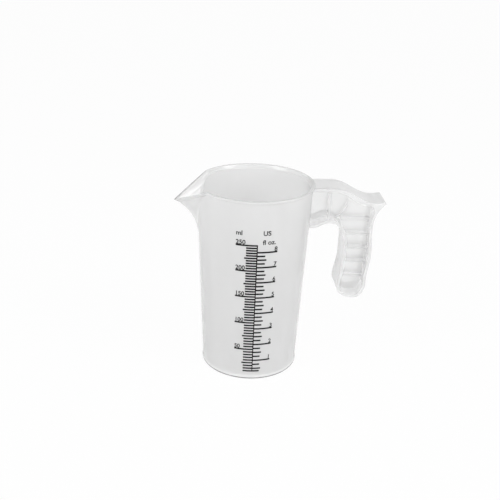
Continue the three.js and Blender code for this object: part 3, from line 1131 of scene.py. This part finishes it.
@dataclass
class PrintedScale:
    """The black print on the cup's front: an upright line, ticks, numbers and unit marks."""

    cup: CupMoulding
    tick_width: float = 1.0 * MM
    line_width: float = 0.65 * MM
    film: float = 0.05 * MM
    lift: float = 0.02 * MM
    least_millilitres: int = 10
    most_millilitres: int = 250
    millilitre_step: int = 5
    numbered_millilitres: int = 50
    least_ounces: float = 0.5
    most_ounces: int = 8
    ounce_step: float = 0.25
    numbered_ounces: int = 1
    millilitres_per_ounce: float = 29.574
    number_size: float = 3.8 * MM
    number_lift: float = 0.65 * MM
    unit_size: float = 4 * MM
    unit_row: float = 5.6 * MM
    unit_inset: float = 3 * MM
    boldness: float = 0.075 * MM
    tick_cuts: int = 3
    tick_lengths: dict = field(
        default_factory=lambda: {
            (Side.MILLILITRES, TickKind.FINE): 6.4 * MM,
            (Side.MILLILITRES, TickKind.MEDIUM): 7.4 * MM,
            (Side.MILLILITRES, TickKind.LONG): 12.5 * MM,
            (Side.OUNCES, TickKind.FINE): 4.8 * MM,
            (Side.OUNCES, TickKind.MEDIUM): 5.6 * MM,
            (Side.OUNCES, TickKind.LONG): 12 * MM,
        }
    )

    def fill_height(self, millilitres: float) -> float:
        """Height of the surface when the cup holds a volume.

        Args:
            millilitres: The volume.

        Returns:
            The height.
        """
        floor_radius = self.cup.inside(self.cup.floor)
        volume = millilitres * MILLILITRE
        surface_radius = (floor_radius**3 + 3 * self.cup.slope * volume / math.pi) ** (1 / 3)
        return self.cup.floor + (surface_radius - floor_radius) / self.cup.slope

    def kind(self, value: float, numbered: float) -> TickKind:
        """The kind of tick at a value.

        Args:
            value: The value.
            numbered: The step between numbered ticks.

        Returns:
            The kind.
        """
        if value % numbered == 0:
            return TickKind.LONG
        return TickKind.MEDIUM if value % (numbered / 2) == 0 else TickKind.FINE

    def add_bar(self, left: float, right: float, bottom: float, top: float) -> None:
        """Add a bar of ink to the flat print that is being edited.

        Args:
            left: Its left end along the wall.
            right: Its right end along the wall.
            bottom: Its lower edge.
            top: Its upper edge.
        """
        middle = ((left + right) / 2, 0, (bottom + top) / 2)
        bpy.ops.mesh.primitive_plane_add(size=MM, location=middle, rotation=(math.pi / 2, 0, 0))
        stretch = ((right - left) / MM, 1, (top - bottom) / MM)
        bpy.ops.transform.resize(value=stretch, center_override=middle)
        bpy.ops.mesh.subdivide(number_cuts=self.tick_cuts)

    def add_tick(self, millilitres: float, side: Side, kind: TickKind) -> None:
        """Add a tick to the flat print that is being edited.

        Args:
            millilitres: The volume that it marks.
            side: The half of the scale that it is on.
            kind: How far it reaches.
        """
        end = side.value * self.tick_lengths[side, kind]
        z = self.fill_height(millilitres)
        half = self.tick_width / 2
        self.add_bar(min(end, 0), max(end, 0), z - half, z + half)

    def wrap(self, layer: bpy.types.Object) -> None:
        """Wrap a flat print round the cup's wall, narrowing with the wall, and give it the thickness of ink.

        Args:
            layer: The print, flat in the XZ plane and facing the front, as wide as at the top mark.
        """
        top_radius = self.cup.outside(self.fill_height(self.most_millilitres))
        for vertex in layer.data.vertices:
            along, _, z = vertex.co
            angle = along / top_radius
            radius = self.cup.outside(z) + self.lift
            vertex.co = (radius * math.sin(angle), -radius * math.cos(angle), z)
        Bench.finish_modifier(layer, "SOLIDIFY", thickness=self.film, offset=1)

    def build_lines(self) -> bpy.types.Object:
        """Print the upright line and the ticks.

        Returns:
            The finished lines.
        """
        Bench.clear_selection()
        half = self.line_width / 2
        lowest = self.fill_height(self.least_millilitres) - self.tick_width / 2
        highest = self.fill_height(self.most_millilitres) + self.tick_width / 2
        bpy.ops.mesh.primitive_plane_add(size=MM)
        lines = bpy.context.object
        lines.name = "scale_lines"
        bpy.ops.object.mode_set(mode="EDIT")
        bpy.ops.mesh.delete(type="VERT")
        self.add_bar(-half, half, lowest, highest)
        self.add_tick(self.least_millilitres, Side.OUNCES, TickKind.FINE)
        for value in range(self.least_millilitres, self.most_millilitres + 1, self.millilitre_step):
            self.add_tick(value, Side.MILLILITRES, self.kind(value, self.numbered_millilitres))
        first_count = round(self.least_ounces / self.ounce_step)
        last_count = round(self.most_ounces / self.ounce_step)
        for count in range(first_count, last_count + 1):
            ounces = count * self.ounce_step
            kind = self.kind(ounces, self.numbered_ounces)
            self.add_tick(ounces * self.millilitres_per_ounce, Side.OUNCES, kind)
        bpy.ops.object.mode_set(mode="OBJECT")
        self.wrap(lines)
        return lines

    def letter(self, words: str, size: float, along: float, z: float, anchor: str) -> bpy.types.Object:
        """Set a word flat in the XZ plane.

        Args:
            words: The word or number.
            size: Size of its letters.
            along: Where it is anchored along the wall.
            z: Height of its baseline.
            anchor: The end that is anchored there, LEFT or RIGHT.

        Returns:
            The word as a mesh.
        """
        Bench.clear_selection()
        bpy.ops.object.text_add()
        word = bpy.context.object
        word.data.body = words
        word.data.size = size
        word.data.align_x = anchor
        word.data.offset = self.boldness
        bpy.ops.object.convert(target="MESH")
        word.rotation_euler.x = math.pi / 2
        word.location = (along, 0, z)
        Bench.settle(word)
        return word

    def build_numbers(self) -> bpy.types.Object:
        """Print the numbers over the long ticks' ends.

        Returns:
            The finished numbers.
        """
        words = []
        for value in range(self.numbered_millilitres, self.most_millilitres + 1, self.numbered_millilitres):
            end = -self.tick_lengths[Side.MILLILITRES, TickKind.LONG]
            z = self.fill_height(value) + self.number_lift
            words.append(self.letter(str(value), self.number_size, end, z, "LEFT"))
        for value in range(self.numbered_ounces, self.most_ounces + 1, self.numbered_ounces):
            end = self.tick_lengths[Side.OUNCES, TickKind.LONG]
            z = self.fill_height(value * self.millilitres_per_ounce) + self.number_lift
            words.append(self.letter(str(value), self.number_size, end, z, "RIGHT"))
        numbers = Bench.join(words)
        numbers.name = "scale_numbers"
        self.wrap(numbers)
        return numbers

    def build_units(self) -> bpy.types.Object:
        """Print the unit marks over the scale.

        Returns:
            The finished marks.
        """
        row = self.fill_height(self.most_millilitres) + self.number_lift
        end = -self.tick_lengths[Side.MILLILITRES, TickKind.LONG]
        words = [
            self.letter("ml", self.unit_size, end, row + self.unit_row, "LEFT"),
            self.letter("US", self.unit_size, self.unit_inset, row + self.unit_row, "LEFT"),
            self.letter("fl oz.", self.unit_size, self.unit_inset, row, "LEFT"),
        ]
        units = Bench.join(words)
        units.name = "unit_marks"
        self.wrap(units)
        return units

    def dress(self, layer: bpy.types.Object, ink: bpy.types.Material) -> None:
        """Give a print its ink and its place in the frame.

        Args:
            layer: The print.
            ink: Its material.
        """
        layer.data.materials.clear()
        layer.data.materials.append(ink)
        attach(layer, BODY)


def direction(turn: float, rise: float) -> Vector:
    """A direction from the jug, by its turn from the front and its rise."""
    return Vector((math.sin(turn) * math.cos(rise), -math.cos(turn) * math.cos(rise), math.sin(rise)))


@dataclass(frozen=True)
class SoftBox:
    """A soft box, a bright rectangle that faces the jug."""

    name: str
    turn: float
    rise: float
    distance: float
    width: float
    height: float
    brightness: float

    def hang(self, aim: Vector) -> None:
        """Hang the box.

        Args:
            aim: The point that it faces.
        """
        light = bpy.data.lights.new(self.name, "AREA")
        light.shape = "RECTANGLE"
        light.size = self.width
        light.size_y = self.height
        light.energy = self.brightness * math.pi * self.width * self.height
        box = bpy.data.objects.new(self.name, light)
        bpy.context.scene.collection.objects.link(box)
        out = direction(self.turn, self.rise)
        box.location = aim + out * self.distance
        box.rotation_euler = out.to_track_quat("Z", "Y").to_euler()


@dataclass
class Studio:
    """The camera, the pale floor, the white surroundings and three soft boxes."""

    aim: Vector = field(default_factory=lambda: Vector((0, 0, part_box("rim_bead")[1].z / 2)))
    distance: float = 495.4 * MM
    azimuth: float = math.radians(-4.5)
    elevation: float = math.radians(25.44)
    roll: float = math.radians(2.228)
    focal_pixels: float = 800.0
    axis_right: float = 1.82
    axis_down: float = 22.09
    near_limit: float = 10 * MM
    floor_side: float = 6.0
    floor_gap: float = 0.2 * MM
    floor_tone: float = 0.96
    floor_glow: float = 0.97
    sky_light: float = 0.5
    sky_fade: float = 0.8
    box_turn: float = math.radians(57)
    box_rise: float = math.radians(33)
    box_distance: float = 0.9
    box_width: float = 0.38
    box_height: float = 0.62
    box_brightness: float = 5.0
    fill_rise: float = math.radians(5)
    fill_distance: float = 1.2
    fill_width: float = 0.8
    fill_height: float = 0.3
    fill_brightness: float = 2.6

    def set_camera(self) -> None:
        """Put the camera where the photograph was taken from."""
        lens = bpy.data.cameras.new("photo_camera")
        lens.sensor_width = SENSOR_WIDTH
        lens.lens = self.focal_pixels / PICTURE_SIDE * SENSOR_WIDTH
        lens.shift_x = -self.axis_right / PICTURE_SIDE
        lens.shift_y = self.axis_down / PICTURE_SIDE
        lens.clip_start = self.near_limit
        camera = bpy.data.objects.new("photo_camera", lens)
        bpy.context.scene.collection.objects.link(camera)
        back = direction(self.azimuth, self.elevation)
        turn = back.to_track_quat("Z", "Y").to_matrix().to_4x4()
        spot = Matrix.Translation(self.aim + back * self.distance)
        camera.matrix_world = spot @ turn @ Matrix.Rotation(self.roll, 4, "Z")
        bpy.context.scene.camera = camera

    def seen_share(self, sheet: NodeSheet) -> Wire:
        """Tell rays that end in the picture from rays that only carry light.

        Args:
            sheet: The nodes of what the rays meet.

        Returns:
            1 for a ray from the camera, straight, mirrored or through plastic, and 0 for the others.
        """
        path = sheet.node("ShaderNodeLightPath")
        camera = Wire(sheet, path.outputs["Is Camera Ray"])
        mirrored = Wire(sheet, path.outputs["Is Glossy Ray"])
        through = Wire(sheet, path.outputs["Is Transmission Ray"])
        return camera.at_least(mirrored).at_least(through)

    def set_surroundings(self) -> None:
        """Surround the jug with soft white light and a white background."""
        world = bpy.data.worlds.new("white_surroundings")
        bpy.context.scene.world = world
        world.use_nodes = True
        sheet = NodeSheet(world.node_tree)
        heading = sheet.node("ShaderNodeTexCoord").outputs["Generated"]
        height = sheet.wire("ShaderNodeSeparateXYZ", None, {0: heading}, "Z").at_least(0)
        light = self.sky_light * (1 - self.sky_fade * height)
        seen = self.seen_share(sheet)
        strength = seen + (1 - seen) * light
        glow = sheet.node("ShaderNodeBackground", None, {"Color": WHITE, "Strength": strength})
        sheet.node("ShaderNodeOutputWorld", None, {"Surface": glow.outputs[0]})

    def lay_floor(self) -> None:
        """Lay the pale floor, which keeps a soft shadow."""
        Bench.clear_selection()
        bpy.ops.mesh.primitive_plane_add(size=self.floor_side, location=(0, 0, -self.floor_gap))
        floor = bpy.context.object
        floor.name = "studio_floor"
        made, sheet = blank_material("studio_floor")
        tone = (self.floor_tone, self.floor_tone, self.floor_tone, 1)
        paint = sheet.node("ShaderNodeBsdfDiffuse", None, {"Color": tone})
        glow = sheet.node("ShaderNodeEmission", None, {"Color": WHITE})
        share = self.seen_share(sheet) * self.floor_glow
        mixed = sheet.node("ShaderNodeMixShader", None, {0: share, 1: paint.outputs[0], 2: glow.outputs[0]})
        sheet.node("ShaderNodeOutputMaterial", None, {"Surface": mixed.outputs[0]})
        floor.data.materials.append(made)

    def boxes(self) -> list[SoftBox]:
        """The lamps.

        Returns:
            A bright box on each side and a broad low one in front.
        """
        side = SoftBox(
            "left_soft_box",
            -self.box_turn,
            self.box_rise,
            self.box_distance,
            self.box_width,
            self.box_height,
            self.box_brightness,
        )
        front = SoftBox(
            "front_fill",
            0,
            self.fill_rise,
            self.fill_distance,
            self.fill_width,
            self.fill_height,
            self.fill_brightness,
        )
        return [side, replace(side, name="right_soft_box", turn=self.box_turn), front]

    def build(self) -> None:
        """Set the whole studio."""
        bpy.context.scene.view_settings.view_transform = "Standard"
        self.set_camera()
        self.set_surroundings()
        self.lay_floor()
        for box in self.boxes():
            box.hang(self.aim)


def main() -> None:
    """Build the studio and the jug's pieces in order."""
    logging.basicConfig(level=logging.INFO, format="%(name)s: %(message)s")
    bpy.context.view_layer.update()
    ink = ScreenInk().material()
    Studio().build()
    moulding = CupMoulding()
    cup = moulding.build()
    moulding.dress(cup, CUP_FINISH.material())
    log.info("%s has %d faces", cup.name, len(cup.data.polygons))
    grip = HandleMoulding(moulding, BAND_FINISH.material(), WEB_FINISH.material())
    handle = grip.build()
    grip.dress(handle)
    log.info("%s has %d faces", handle.name, len(handle.data.polygons))
    scale = PrintedScale(moulding)
    lines = scale.build_lines()
    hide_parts("printed_scale")
    for layer in (lines, scale.build_numbers(), scale.build_units()):
        scale.dress(layer, ink)
        log.info("%s has %d faces", layer.name, len(layer.data.polygons))


if __name__ == "__main__":
    main()
